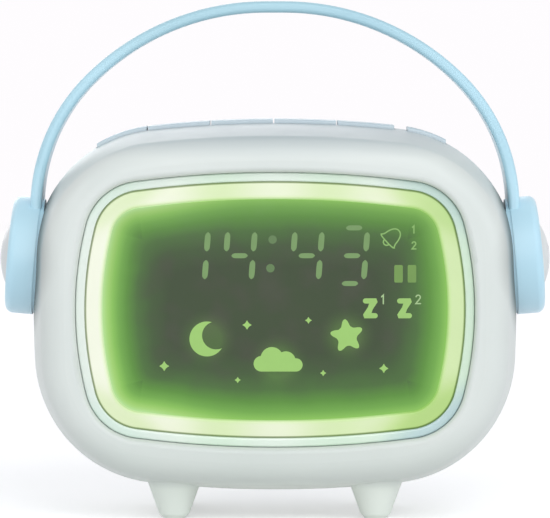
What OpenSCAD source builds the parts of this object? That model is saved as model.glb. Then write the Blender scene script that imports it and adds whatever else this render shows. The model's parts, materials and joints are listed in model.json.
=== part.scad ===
// Table alarm clock with a night light ring and a swing-back carry handle.
// Millimetres. +X is to the right, -Y is the front and +Z is up.
// The origin is on the table, under the middle of the body.

/* [Body] */
// Width of the body across its sides
body_w = 126.8; // [122:0.1:132]
// Height of the body without its feet
body_h = 96.4; // [93:0.1:102]
// Depth of the body from front rim to back
body_d = 58; // [56:0.5:62]
// Thickness of the moulded walls
wall = 2.2; // [1.8:0.1:2.6]
// Radius of the outline's four corners
corner_r = 34.2; // [33:0.1:36]
// Half of the angle that the arched top and bottom turn through
top_turn = 6.4; // [5.5:0.1:7.5]
// Half of the angle that the arched sides turn through
side_turn = 2.3; // [1.8:0.1:3]
// Crown radius of the front half's side walls
front_crown_r = 100; // [90:1:120]
// Radius where the side walls turn into the front rim
front_edge_r = 6.5; // [6:0.1:7.5]
// Crown radius of the rear half's side walls
rear_crown_r = 40; // [38:0.5:42]
// Radius where the side walls turn into the back
rear_edge_r = 9; // [8:0.1:10]
// Height of the feet under the body
foot_h = 6.3; // [5:0.1:8]
// Radius of a foot where it leaves the body
foot_r = 6; // [5:0.1:7]
// Radius of a foot where it stands
foot_end_r = 4; // [3.6:0.1:4.4]
// Distance of the feet from the middle, sideways
foot_x = 26.2; // [22:0.1:30]
// Distance of the feet from the middle, front to back
foot_y = 15; // [13:0.5:16]

/* [Front] */
// Width of the front opening
lens_w = 102.8; // [101:0.1:104]
// Height of the front opening
lens_h = 71; // [70:0.1:72]
// How far its middle lies above the body's middle
lens_up = 0.5; // [0:0.1:0.8]
// Radius of its corners
lens_r = 15.1; // [14.5:0.1:16]
// How far its top edge turns, in degrees
lens_top_turn = 7.5; // [7:0.1:8]
// How far its side edge turns, in degrees
lens_side_turn = 14.3; // [13.5:0.1:15]
// Radius of the lip that rolls into the front opening
lip_r = 1.5; // [1.3:0.1:1.7]
// Width of the white trim round the night light
trim_w = 2.3; // [2:0.1:2.6]
// Width of the glowing ring
ring_w = 4.4; // [4:0.1:5]
// How far the trim lies behind the front rim
trim_drop = 2.4; // [2:0.1:3]
// Thickness of the display window
window_t = 2; // [1.6:0.1:2.2]
// Gap between the pieces in the front opening
front_gap = 0.1; // [0.08:0.01:0.15]
// Height of a digit
digit_h = 15.8; // [14:0.1:16.5]
// Width of a digit
digit_w = 8.4; // [7.6:0.1:8.8]
// Width of one stroke of a digit
stroke = 1.5; // [1.2:0.1:1.7]
// Slope of the digits in degrees
digit_slope = 4.5; // [0:0.5:6]

/* [Keys] */
// Width of each of the four middle keys
key_w = 16.1; // [15.5:0.1:16.4]
// Width of the left end key
left_key_w = 13; // [12:0.1:13.5]
// Width of the key beside the bridge
fifth_key_w = 14.8; // [14:0.1:15.5]
// Width of the right end key
right_key_w = 10; // [9:0.1:10.5]
// Size of the keys from front to back
key_d = 12; // [11:0.1:13]
// Gap between neighbouring keys
key_gap = 0.4; // [0.3:0.05:0.6]
// Width of the bridge beside the right end key
bridge_w = 3.5; // [3.2:0.1:3.8]
// How far the keys stand above the shell
key_proud = 0.8; // [0.6:0.05:1]
// Travel of a key
key_travel = 0.8; // [0.5:0.05:0.9]
// Clearance round each key in its opening
key_clear = 0.25; // [0.2:0.05:0.35]

/* [Handle] */
// Height of the handle's pivot above the table
pivot_z = 67.4; // [65:0.1:69]
// Width of the handle across its legs
handle_w = 127.8; // [127.6:0.1:129]
// Height of the handle's top above the table
handle_top = 134.3; // [131:0.1:137]
// Half length of the flat at the handle's top
arch_flat = 2.5; // [2:0.1:3.2]
// Radius of the handle's upper arc
arch_r = 66.6; // [65:0.1:67.5]
// Thickness of the strap
strap_t = 3; // [2.6:0.1:3]
// Width of the strap
strap_w = 17.5; // [15:0.1:18.5]
// Rounding of the strap's long edges
strap_edge_r = 1.2; // [0.8:0.1:1.3]
// Radius of the round ends of the handle
ear_r = 15.4; // [15:0.1:15.6]
// Thickness of the tilted part of a round end
ear_t = 7.2; // [6.6:0.1:7.6]
// Lean of a round end's outer face in degrees
ear_tilt = 5; // [3:0.5:6]
// Radius of the white cap on each round end
cap_r = 8.5; // [8:0.1:9]
// Rise of the cap's dome
cap_rise = 2.5; // [2:0.1:3]
// Radius of the spigot that the handle turns on
spigot_r = 4; // [3.6:0.05:4.2]
// Running clearance of the spigot in its bush
spigot_clear = 0.08; // [0.05:0.01:0.1]
// Gap between a round end and its pocket in the body
pocket_clear = 0.8; // [0.6:0.1:1]
// Distance from the middle to the floor of each pocket
pocket_x = 59.7; // [59.5:0.05:59.8]

/* [Inside] */
// Thickness of the circuit boards
board_t = 1.6; // [1:0.1:1.6]
// Height of the display wells between board and window
well_h = 10; // [9:0.1:11]
// Radius of the loudspeaker
speaker_r = 18; // [16:0.1:18.5]
// Height of the loudspeaker's centre above the middle of the body
speaker_up = 4; // [3:0.5:5]
// Radius of the rechargeable cell
cell_r = 9.2; // [9:0.1:9.3]
// Length of the rechargeable cell
cell_len = 65; // [60:0.5:66]
// Radius of the screws' shanks
screw_r = 1.25; // [1.1:0.05:1.4]
// Radius of the screws' heads
screw_head_r = 2.6; // [2.4:0.1:2.7]
// Slack of a screw in the piece that it passes through
screw_clear = 0.3; // [0.2:0.05:0.4]

/* [Hidden] */
$fn = 96;
half_w = body_w / 2;
half_h = body_h / 2;
half_d = body_d / 2;
body_z = foot_h + half_h;
tiny = 0.01;

// A rounded form of eight tangent arcs: half width, half height, corner radius, and how far its
// top and side arcs turn. Each arc: centre x, centre z, radius, start angle, end angle
function eight_arcs(w, h, r, top, side, up = 0) =
    let (
        det = sin(top) * sin(side) - (1 - cos(side)) * (1 - cos(top)),
        top_more = ((w - r) * sin(side) - (h - r) * (1 - cos(side))) / det,
        side_more = ((h - r) * sin(top) - (w - r) * (1 - cos(top))) / det,
        x = top_more * sin(top),
        z = side_more * sin(side),
        top_mid = h - r - top_more,
        side_mid = w - r - side_more
    ) [
        [side_mid, up, r + side_more, -side, side],
        [x, up + z, r, side, 90 - top],
        [0, up + top_mid, r + top_more, 90 - top, 90 + top],
        [-x, up + z, r, 90 + top, 180 - side],
        [-side_mid, up, r + side_more, 180 - side, 180 + side],
        [-x, up - z, r, 180 + side, 270 - top],
        [0, up - top_mid, r + top_more, 270 - top, 270 + top],
        [x, up - z, r, 270 + top, 360 - side],
    ];

OUTLINE = eight_arcs(half_w, half_h, corner_r, top_turn, side_turn);
LENS = eight_arcs(lens_w / 2, lens_h / 2, lens_r, lens_top_turn, lens_side_turn, lens_up);
corner_x = OUTLINE[1][0];
corner_z = OUTLINE[1][1];
ALL_ARCS = [0 : 7];
TOP_ARCS = [1 : 3];
RIGHT_ARCS = [0, 1];

function arc_point(arc, angle, n) =
    [arc[0] + (arc[2] + n) * cos(angle), arc[1] + (arc[2] + n) * sin(angle)];
// Points round a path, moved outwards by n, a few on each arc
function outline_points(n, path, parts) =
    [for (arc = path, k = [0 : parts - 1]) arc_point(arc, arc[3] + (arc[4] - arc[3]) * k / parts, n)];
// Centre of the rounded edge between a crowned side and a flat face
function edge_n(crown, edge) = -crown + sqrt(pow(crown - edge, 2) - pow(half_d - edge, 2));

front_edge_n = edge_n(front_crown_r, front_edge_r);
rear_edge_n = edge_n(rear_crown_r, rear_edge_r);

// Front opening: how far inwards each ring lies from the opening's edge, and its place in depth
lip_n = 0;
rim_reach = half_h - lens_h / 2 + lens_up + 2.5;
collar_back = 20;
shelf_t = 1.2;
shelf_w = 2;
trim_out_n = lip_n - front_gap;
trim_in_n = trim_out_n - trim_w;
ring_out_n = trim_in_n - front_gap;
ring_in_n = ring_out_n - ring_w;
window_n = ring_in_n - front_gap;
trim_front = half_d - trim_drop;
ring_front = trim_front - 0.3;
window_front = ring_front - 0.3;
window_back = window_front - window_t;
ledge_w = 1.5;
ledge_t = 1.4;
ledge_back = window_back - ledge_t;
light_board_front = collar_back - well_h + 0.5;
light_board_back = light_board_front - board_t;
box_wall = 1.6;
box_out_n = lip_n - 0.5;
box_in_n = ring_in_n - ledge_w + 0.5;
mask_t = 2;

// Screws that hold the light box to the front shell, and the two case halves
lug_x = 24;
lug_r = 2.8;
lug_z = half_h - 7.7;
post_angle = 33;
post_r = 3.8;
post_reach = corner_r - wall - post_r - 1.4;
post_x = corner_x + post_reach * cos(post_angle);
post_z = corner_z + post_reach * sin(post_angle);
well_floor = -7;
seam_lip = 1.6;
seam_gap = 0.1;

// Keys, from the left: left edge and width of each
KEY_W = [left_key_w, key_w, key_w, key_w, fifth_key_w, right_key_w];
key_left = -(left_key_w + 3 * key_w + fifth_key_w + right_key_w + 4 * key_gap + bridge_w) / 2 - 0.95;
function key_x(i) = i == 0 ? key_left
    : key_x(i - 1) + KEY_W[i - 1] + (i == 5 ? bridge_w : key_gap);
function key_mid(i) = key_x(i) + KEY_W[i] / 2;
key_flange = 1.2;
key_flange_t = 1.2;
key_rest = 0.3;
key_board_up = half_h - 15.7;
switch_w = 6;
switch_h = 3.5;
stem_r = 1.7;
stem_h = 1.2;
stem_seat = key_board_up + board_t + switch_h;
key_boss_x = 20;
key_boss_y = 11;
key_boss_r = 2.5;

// Handle: two shoulders and one upper arc on each side of a short flat
shoulder_turn = 45;
leg_x = handle_w / 2;
arch_start_x = arch_flat + arch_r * cos(shoulder_turn);
arch_start_z = handle_top - arch_r * (1 - sin(shoulder_turn));
shoulder_r = (leg_x - arch_start_x) / (1 - cos(shoulder_turn));
leg_top = arch_start_z - shoulder_r * sin(shoulder_turn);
// Each arc: centre x, centre z, radius, start angle, end angle
STRAP = [
    [leg_x - shoulder_r, leg_top, shoulder_r, 0, shoulder_turn],
    [arch_flat, handle_top - arch_r, arch_r, shoulder_turn, 90],
    [-arch_flat, handle_top - arch_r, arch_r, 90, 180 - shoulder_turn],
    [shoulder_r - leg_x, leg_top, shoulder_r, 180 - shoulder_turn, 180],
];
ear_x = pocket_x + 0.6;
ear_back_x = ear_x + 2.2;
ear_edge_r = 2;
ear_base_t = 3.3;
pocket_r = ear_r + pocket_clear;
bush_r = 6;
bush_len = 9.6;
bush_in_x = pocket_x - bush_len;
bearing_r = bush_r + 2.4;
washer_t = 1.2;
washer_r = 6.4;
washer_x = bush_in_x - 0.25 - washer_t;
ring_groove = 0.6;
ring_outer = 7.9;
ring_inner = 6.7;

// Inside the rear half
main_board_front = 2;
standoff_x = 36;
standoff_z = 9;
cell_z = -half_h + cell_r + 9;
cell_y = 11.5;
cradle_t = cell_r + 0.8;
speaker_ring_r = speaker_r + 0.6;
usb_x = 30;
usb_z = -18;
usb_w = 9;
usb_h = 3.2;

// ---- Helpers ----

// A rectangle from corner to corner
module box2(x0, y0, x1, y1) {
    polygon([[x0, y0], [x1, y0], [x1, y1], [x0, y1]]);
}

// A rectangle with rounded corners, made of parts that only share edges
module round_box2(x0, y0, x1, y1, r) {
    box2(x0 + r, y0, x1 - r, y1);
    box2(x0, y0 + r, x0 + r, y1 - r);
    box2(x1 - r, y0 + r, x1, y1 - r);
    for (sx = [0, 1], sy = [0, 1]) {
        cx = sx == 0 ? x0 + r : x1 - r;
        cy = sy == 0 ? y0 + r : y1 - r;
        intersection() {
            translate([cx, cy]) circle(r = r);
            box2(sx == 0 ? x0 : cx, sy == 0 ? y0 : cy, sx == 0 ? cx : x1, sy == 0 ? cy : y1);
        }
    }
}

// Seen from the front: x to the right, y up from the middle of the body, z towards the viewer
module face_frame() {
    translate([0, 0, body_z]) rotate([90, 0, 0]) children();
}

// Moves in three ever finer steps, so that arcs with far centres meet exactly
module move(v) {
    coarse = [for (c = v) round(c)];
    fine = [for (c = v - coarse) round(c * 10000) / 10000];
    translate(coarse) translate(fine) translate(v - coarse - fine) children();
}

// Sweeps a section, drawn as [outward, forward], round the chosen arcs of a path
module sweep(path = OUTLINE, arcs = ALL_ARCS) {
    for (i = arcs) {
        arc = path[i];
        move([arc[0], arc[1], 0])
            rotate_extrude(angle = arc[4] - arc[3], start = arc[3])
                move([arc[2], 0]) children();
    }
}

// A flat plate with the front opening's outline, moved outwards by n, between two depths
module plate(n, back, front) {
    band = 0.45 * (lens_r + n);
    sweep(LENS) box2(n - band, back, n, front);
    translate([0, 0, back]) linear_extrude(front - back)
        polygon(outline_points(n - band / 2, LENS, 4));
}

// A cylinder that points to the front, at a place on the face
module peg(x, up, back, front, r) {
    translate([x, up, back]) cylinder(r = r, h = front - back);
}

// A box on the face, given by its middle, its size and its two depths
module block(x, up, w, h, back, front) {
    translate([x - w / 2, up - h / 2, back]) cube([w, h, front - back]);
}

// Mirrors what stands on the right to the left as well
module both_sides() {
    children();
    mirror([1, 0, 0]) children();
}

// Four copies, one in each corner
module four_corners() {
    for (sx = [0, 1], sy = [0, 1])
        mirror([sx, 0, 0]) mirror([0, sy, 0]) children();
}

// Section of half a body, from its outline in and from the seam to its flat face
module half_section(crown, edge, inset, reach, start) {
    edge_h = half_d - edge;
    centre_n = edge_n(crown, edge);
    turn_h = edge_h + (edge - inset) * edge_h / (crown - edge);
    intersection() {
        translate([-crown, 0]) circle(r = crown - inset, $fn = 360);
        box2(-reach, start, 1, turn_h);
    }
    intersection() {
        translate([centre_n, edge_h]) circle(r = edge - inset);
        box2(centre_n, turn_h, 1, half_d + 1);
    }
    box2(-reach, turn_h, centre_n, half_d - inset);
}

// ---- Housing ----

// The front half's wall, with its lip at the seam and its flat rim
module front_section() {
    difference() {
        half_section(front_crown_r, front_edge_r, 0, rim_reach, 0);
        half_section(front_crown_r, front_edge_r, wall, rim_reach + 1, -1);
    }
    box2(-wall, -seam_lip, -wall / 2 - seam_gap / 2, tiny);
}

// The rolled edge of the front opening, with the collar and shelf behind it
module rim_section() {
    lip_centre = half_d - lip_r;
    intersection() {
        translate([lip_r, lip_centre]) circle(r = lip_r);
        box2(0, lip_centre, lip_r, half_d + 1);
    }
    box2(0, collar_back, lip_r, lip_centre);
    box2(-shelf_w, collar_back, 0, collar_back + shelf_t);
}

// The rear half's wall with the edge of its back
module rear_section() {
    reach = 0.72 * corner_r;
    mirror([0, 1]) difference() {
        half_section(rear_crown_r, rear_edge_r, 0, reach, 0);
        half_section(rear_crown_r, rear_edge_r, wall, reach + 1, -1);
        seam_recess();
    }
}

// Room in the rear half for the lip of the front half
module seam_recess() {
    box2(-wall - 1, -1, -wall / 2 + seam_gap / 2, seam_lip + seam_gap);
}

// What fills the body up to its outer surface, near the outline
module front_fill(arcs = ALL_ARCS) {
    sweep(arcs = arcs) half_section(front_crown_r, front_edge_r, 0, rim_reach, 0);
}

module rear_fill(arcs = ALL_ARCS) {
    mirror([0, 0, 1])
        sweep(arcs = arcs) half_section(rear_crown_r, rear_edge_r, 0, 0.72 * corner_r, 0);
}

// Cylinder that points to the right from one distance to another, at the pivot
module pivot_rod(from_x, to_x, r) {
    translate([from_x, 0, pivot_z]) rotate([0, 90, 0]) cylinder(r = r, h = to_x - from_x);
}

// Thick ring round the pocket for a round end of the handle
module pocket_rim() {
    pivot_rod(pocket_x - wall, half_w + 1, pocket_r + wall);
}

// Bearing behind the pocket that holds the bush
module bearing_boss() {
    pivot_rod(bush_in_x, pocket_x - 1, bearing_r);
}

module pocket_cut() {
    pivot_rod(pocket_x, half_w + 10, pocket_r);
    pivot_rod(bush_in_x - 1, pocket_x + 1, bush_r);
}

// Openings for the keys, through the top wall
module key_slots() {
    slot_up = half_h - 12;
    for (part = [[key_x(0), key_x(4) + KEY_W[4]], [key_x(5), key_x(5) + KEY_W[5]]])
        translate([part[0] - key_clear, slot_up, -key_d / 2 - key_clear])
            cube([part[1] - part[0] + 2 * key_clear, 20, key_d + 2 * key_clear]);
}

// A tapered foot with a rounded end, up to the given height
module foot(x, y, top) {
    end_r = 1.2;
    slope = (foot_r - foot_end_r) / foot_h;
    translate([x, y, 0]) rotate_extrude() {
        polygon([[0, 0], [foot_end_r - end_r, 0], [foot_end_r, end_r],
            [foot_end_r + slope * top, top], [0, top]]);
    }
}

module front_half_space() {
    translate([-200, -200, -50]) cube([400, 200, 300]);
}

module rear_half_space() {
    translate([-200, 0, -50]) cube([400, 200, 300]);
}

module front_shell() {
    color([0.84, 0.87, 0.86]) difference() {
        union() {
            face_frame() {
                difference() {
                    sweep() front_section();
                    plate(lip_r, half_d - wall - 1, half_d + 1);
                }
                sweep(LENS) rim_section();
                intersection() {
                    front_fill();
                    four_corners() {
                        peg(post_x, post_z, 0, half_d - 2, post_r);
                        peg(lug_x, lug_z, light_board_front + 1.5, half_d - 1.5, lug_r);
                    }
                }
            }
            both_sides() {
                intersection() {
                    face_frame() front_fill(RIGHT_ARCS);
                    pocket_rim();
                }
                intersection() {
                    bearing_boss();
                    front_half_space();
                }
            }
            for (sx = [-1, 1]) foot(sx * foot_x, -foot_y, foot_h + 4.5);
        }
        both_sides() pocket_cut();
        face_frame() {
            key_slots();
            four_corners() peg(post_x, post_z, -1, 12, screw_r + 0.05);
            for (sx = [-1, 1], sy = [-1, 1])
                peg(sx * lug_x, sy * lug_z, light_board_front, light_board_front + 9.5, screw_r + 0.05);
        }
    }
}

// Speaker slots inside a circle
module speaker_slots() {
    slot_h = 2;
    for (row = [-3 : 3]) {
        up = row * 4;
        reach = sqrt(pow(speaker_r - 3, 2) - up * up) - slot_h / 2;
        translate([-reach, speaker_up + up, -half_d - 1]) cylinder(r = slot_h / 2, h = wall + 2);
        translate([reach, speaker_up + up, -half_d - 1]) cylinder(r = slot_h / 2, h = wall + 2);
        block(0, speaker_up + up, 2 * reach, slot_h, -half_d - 1, -half_d + wall + 1);
    }
}

// Socket opening for the charging plug
module usb_cut() {
    for (sx = [-1, 1])
        peg(usb_x + sx * (usb_w - usb_h) / 2, usb_z, -half_d - 1, -half_d + wall + 1, usb_h / 2 + 0.25);
    block(usb_x, usb_z, usb_w - usb_h, usb_h + 0.5, -half_d - 1, -half_d + wall + 1);
}

module rear_shell() {
    back_in = -half_d + wall;
    color([0.84, 0.87, 0.86]) difference() {
        union() {
            face_frame() {
                sweep() rear_section();
                translate([0, 0, -half_d]) linear_extrude(wall)
                    polygon(outline_points(-0.585 * corner_r, OUTLINE, 1));
                intersection() {
                    rear_fill();
                    four_corners() peg(post_x, post_z, -half_d, 0, post_r + 0.8);
                }
                difference() {
                    peg(0, speaker_up, back_in - tiny, back_in + 6, speaker_ring_r + 1.6);
                    peg(0, speaker_up, back_in - 1, back_in + 7, speaker_ring_r);
                }
                for (sx = [-1, 1]) {
                    peg(sx * (speaker_r + 5), speaker_up, back_in - tiny, back_in + 5.2, 2.6);
                    translate([sx * 24 - 1, -half_h + wall / 2, -cell_y - 6])
                        cube([2, cell_z - cradle_t + half_h - wall / 2, 12]);
                    translate([sx * key_boss_x, key_board_up + board_t, -key_boss_y])
                        rotate([-90, 0, 0])
                            cylinder(r = key_boss_r, h = half_h - key_board_up - board_t - 3);
                    block(usb_x + sx * 8.5, usb_z - 2.4, 2, 7, back_in - tiny, back_in + 7);
                }
            }
            both_sides() {
                difference() {
                    intersection() {
                        face_frame() rear_fill(RIGHT_ARCS);
                        pocket_rim();
                    }
                    face_frame() sweep(arcs = RIGHT_ARCS) mirror([0, 1]) seam_recess();
                }
                intersection() {
                    bearing_boss();
                    rear_half_space();
                }
            }
            for (sx = [-1, 1]) foot(sx * foot_x, foot_y, foot_h + 7);
        }
        both_sides() pocket_cut();
        face_frame() {
            key_slots();
            speaker_slots();
            usb_cut();
            four_corners() {
                peg(post_x, post_z, -half_d - 1, well_floor, screw_head_r + 0.4);
                peg(post_x, post_z, well_floor - 1, 1, screw_r + screw_clear);
            }
            for (sx = [-1, 1]) {
                peg(sx * (speaker_r + 5), speaker_up, back_in + 1, back_in + 6, screw_r * 0.8);
                translate([sx * key_boss_x, key_board_up, -key_boss_y]) rotate([-90, 0, 0])
                    cylinder(r = screw_r * 0.8, h = 8);
                // Grooves in the two rails that hold the charging board
                block(usb_x + sx * 8, usb_z - usb_h / 2 - board_t / 2, 2, board_t + 0.1,
                    back_in - tiny, back_in + 8);
            }
        }
    }
}

// ---- Light and display ----

module lens_trim() {
    color([0.93, 0.95, 0.94]) face_frame()
        sweep(LENS) round_box2(trim_in_n, collar_back + shelf_t, trim_out_n, trim_front, 0.5);
}

module light_ring() {
    color([0.93, 0.97, 0.82]) face_frame() {
        sweep(LENS) {
            round_box2(ring_in_n, window_back - 0.6, ring_out_n, ring_front, 0.6);
            box2(ring_out_n - 1.6, collar_back, ring_out_n, window_back);
            box2(ring_in_n - ledge_w, ledge_back, ring_in_n + 1, window_back);
        }
    }
}

module display_window() {
    color([0.29, 0.33, 0.26]) face_frame() plate(window_n, window_back, window_front);
}

module segment_diffuser() {
    color([0.8, 0.9, 0.7]) face_frame()
        block(0, 4, 66, 40, ledge_back, ledge_back + 0.8);
}

// Centre of each digit, sideways, from the left, and of the whole row, upwards
DIGIT_X = [-21.1, -9.1, 8.15, 19.8];
digit_up = 14.45;
// Segments as [sideways, upward, is it vertical], in halves of a digit
SEGMENTS = [[0, 1, 0], [0, 0, 0], [0, -1, 0], [-1, 0.5, 1], [1, 0.5, 1], [-1, -0.5, 1], [1, -0.5, 1]];

// Puts its child at every segment and at both dots of the colon
module each_segment() {
    for (x = DIGIT_X, s = SEGMENTS) {
        up = s[1] * (digit_h - stroke) / 2;
        translate([x + s[0] * (digit_w - stroke) / 2 + up * tan(digit_slope), digit_up + up, 0])
            rotate([0, 0, s[2] * 90]) children();
    }
}

module light_box() {
    mask_front = ledge_back;
    color([0.95, 0.95, 0.93]) face_frame() {
        difference() {
            union() {
                sweep(LENS) {
                    box2(ring_out_n - 2, light_board_front, box_out_n, collar_back);
                    box2(box_in_n - box_wall, light_board_front, box_in_n, mask_front);
                }
                plate(box_in_n - tiny, mask_front - mask_t, mask_front);
                for (sx = [-1, 1], sy = [-1, 1]) {
                    peg(sx * lug_x, sy * lug_z, light_board_front, light_board_front + 1.5, lug_r + 0.6);
                    block(sx * lug_x, sy * (lug_z - 5.2), 5, 8, light_board_front,
                        light_board_front + 1.5);
                }
                // Low ribs across the channel tie the two walls together
                for (arc = LENS) move([arc[0], arc[1], 0]) rotate([0, 0, (arc[3] + arc[4]) / 2])
                    translate([arc[2] + box_in_n - 1, -0.6, light_board_front])
                        cube([ring_out_n - box_in_n, 1.2, 2.5]);
                four_corners() peg(31, 20, light_board_front, mask_front - 1, 2.4);
            }
            each_segment() block(0, 0, digit_w - 2 * stroke - 0.8, stroke,
                light_board_front - 1, mask_front + 1);
            for (sx = [-1, 1], sy = [-1, 1])
                peg(sx * lug_x, sy * lug_z, light_board_front - 1, light_board_front + 3,
                    screw_r + screw_clear);
            four_corners() peg(31, 20, light_board_front - 1, light_board_front + 6, screw_r * 0.8);
        }
    }
}

module light_board() {
    color([0.12, 0.35, 0.22]) face_frame() difference() {
        plate(box_out_n - 1, light_board_back, light_board_front);
        four_corners() {
            peg(31, 20, light_board_back - 1, light_board_front + 1, screw_r + screw_clear);
            peg(standoff_x, standoff_z, light_board_back - 1, light_board_front + 1, screw_r);
        }
    }
}

// One lamp after another in the channel behind the glowing ring
module ring_leds() {
    channel_n = (ring_out_n - 2 + box_in_n) / 2;
    color([0.98, 0.93, 0.6]) face_frame()
        for (arc = LENS) {
            count = arc[2] < 2 * lens_r ? 2 : 4;
            for (k = [0 : count - 1]) {
                angle = arc[3] + (arc[4] - arc[3]) * (k + 0.5) / count;
                p = arc_point(arc, angle, channel_n);
                translate([p[0], p[1], light_board_front]) rotate([0, 0, angle])
                    translate([-1, -1.5, 0]) cube([2, 3, 1.2]);
            }
        }
}

module segment_leds() {
    color([0.98, 0.98, 0.9]) face_frame()
        each_segment() block(0, 0, 1.6, 0.8, light_board_front, light_board_front + 0.6);
}

// A pan-head screw that points to the front, with its head's underside at a depth
module screw(x, up, seat, len, head_t = 1.8) {
    peg(x, up, seat - head_t, seat, screw_head_r);
    peg(x, up, seat - tiny, seat + len, screw_r);
}

module light_box_screws() {
    color([0.75, 0.75, 0.77]) face_frame()
        for (sx = [-1, 1], sy = [-1, 1])
            screw(sx * lug_x, sy * lug_z, light_board_front, 8);
}

// Small screws with thin heads
module small_screw(x, up, seat, len) {
    peg(x, up, seat - 1.2, seat, screw_head_r * 0.8);
    peg(x, up, seat - tiny, seat + len, screw_r * 0.75);
}

module light_board_screws() {
    color([0.75, 0.75, 0.77]) face_frame()
        four_corners() small_screw(31, 20, light_board_back, 6);
}

// ---- Boards ----

module board_standoffs() {
    color([0.85, 0.85, 0.8]) face_frame() four_corners() difference() {
        peg(standoff_x, standoff_z, main_board_front, light_board_back, 2.4);
        peg(standoff_x, standoff_z, main_board_front - 1, light_board_back + 1, screw_r * 0.8);
    }
}

module main_board() {
    color([0.12, 0.35, 0.22]) face_frame() difference() {
        block(0, -2, 84, 50, main_board_front - board_t, main_board_front);
        four_corners() peg(standoff_x, standoff_z, -3, 5, screw_r);
    }
}

module main_board_chips() {
    back = main_board_front - board_t;
    color([0.12, 0.12, 0.13]) face_frame() {
        block(-18, -4, 12, 12, back - 1.4, back);
        block(8, 10, 8, 5, back - 1.5, back);
        block(24, -8, 6, 5, back - 1.5, back);
        block(-26, -18, 9, 4, back - 2, back);
        for (k = [0 : 2]) peg(14 + 7 * k, -17.4, back - 7, back, 2.5);
    }
}

module main_board_screws() {
    color([0.75, 0.75, 0.77]) face_frame()
        four_corners() small_screw(standoff_x, standoff_z, main_board_front - board_t, 6);
}

// Pins and sockets between the two boards
module link_header() {
    color([0.15, 0.15, 0.16]) face_frame()
        block(0, -18, 26, 5, main_board_front, light_board_back);
}

module key_board() {
    color([0.12, 0.35, 0.22]) face_frame() difference() {
        translate([-44, key_board_up, -key_boss_y - 3]) cube([88, board_t, key_boss_y + 10.5]);
        for (sx = [-1, 1])
            translate([sx * key_boss_x, key_board_up - 1, -key_boss_y]) rotate([-90, 0, 0])
                cylinder(r = screw_r, h = board_t + 2);
    }
}

module key_board_screws() {
    color([0.75, 0.75, 0.77]) face_frame()
        for (sx = [-1, 1])
            translate([sx * key_boss_x, key_board_up, -key_boss_y]) rotate([-90, 0, 0]) {
                translate([0, 0, -1.2]) cylinder(r = screw_head_r * 0.8, h = 1.2);
                translate([0, 0, -tiny]) cylinder(r = screw_r * 0.75, h = 6);
            }
}

module key_switches() {
    color([0.15, 0.15, 0.16]) face_frame()
        for (i = [0 : 5]) difference() {
            translate([key_mid(i) - switch_w / 2, key_board_up + board_t, -switch_w / 2])
                cube([switch_w, switch_h, switch_w]);
            translate([key_mid(i), stem_seat - 1.2, 0]) rotate([-90, 0, 0])
                cylinder(r = stem_r + 0.08, h = 3);
        }
}

// ---- Keys ----

// Length of the plunger under a key, from its skirt to the switch
// Inner face of the top wall at a distance from the seam, for one crown
function under_wall(crown, from_seam) = -crown + sqrt(pow(crown - wall, 2) - pow(from_seam, 2));

module key(i) {
    x = key_x(i);
    w = KEY_W[i];
    flange_end = key_d / 2 + key_flange;
    front_top = under_wall(front_crown_r, flange_end) - key_rest;
    rear_top = under_wall(rear_crown_r, flange_end) - key_rest;
    under = rear_top - key_flange_t;
    face_frame() {
        intersection() {
            sweep(arcs = TOP_ARCS) {
                round_box2(under, -key_d / 2, key_proud, key_d / 2, 0.6);
                box2(under, -flange_end, rear_top, flange_end);
                box2(rear_top, key_d / 2, front_top, flange_end);
            }
            translate([x, 0, -key_d]) cube([w, 2 * half_h, 2 * key_d]);
        }
        intersection() {
            translate([key_mid(i), stem_seat + stem_h, 0]) rotate([-90, 0, 0])
                cylinder(r = 2, h = half_h);
            union() {
                sweep(arcs = TOP_ARCS) box2(under - 11, -3, under + 0.5, 3);
                translate([-corner_x, 0, -3]) cube([2 * corner_x, half_h - 8, 6]);
            }
        }
    }
}

module stem(i) {
    face_frame() translate([key_mid(i), stem_seat - 0.2, 0]) rotate([-90, 0, 0])
        cylinder(r = stem_r, h = stem_h + 0.2);
}

module key_1() { color([0.76, 0.82, 0.85]) key(0); }
module key_2() { color([0.76, 0.82, 0.85]) key(1); }
module key_3() { color([0.76, 0.82, 0.85]) key(2); }
module key_4() { color([0.76, 0.82, 0.85]) key(3); }
module key_5() { color([0.76, 0.82, 0.85]) key(4); }
module key_6() { color([0.76, 0.82, 0.85]) key(5); }
module stem_1() { color([0.9, 0.9, 0.88]) stem(0); }
module stem_2() { color([0.9, 0.9, 0.88]) stem(1); }
module stem_3() { color([0.9, 0.9, 0.88]) stem(2); }
module stem_4() { color([0.9, 0.9, 0.88]) stem(3); }
module stem_5() { color([0.9, 0.9, 0.88]) stem(4); }
module stem_6() { color([0.9, 0.9, 0.88]) stem(5); }

// ---- Handle ----

// Section of the strap, drawn as [outward, forward]
module strap_section() {
    round_box2(-strap_t, -strap_w / 2, 0, strap_w / 2, strap_edge_r);
}

// From the middle of a round end's back, along the leaning axis
module ear_frame() {
    translate([ear_back_x, 0, pivot_z]) rotate([0, -ear_tilt, 0]) rotate([0, 90, 0]) children();
}

// The groove that a friction ring sits in
module friction_groove() {
    difference() {
        pivot_rod(ear_x - 1, ear_x + ring_groove, ring_outer + 0.1);
        pivot_rod(ear_x - 2, ear_x + 2, ring_inner - 0.1);
    }
}

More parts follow.
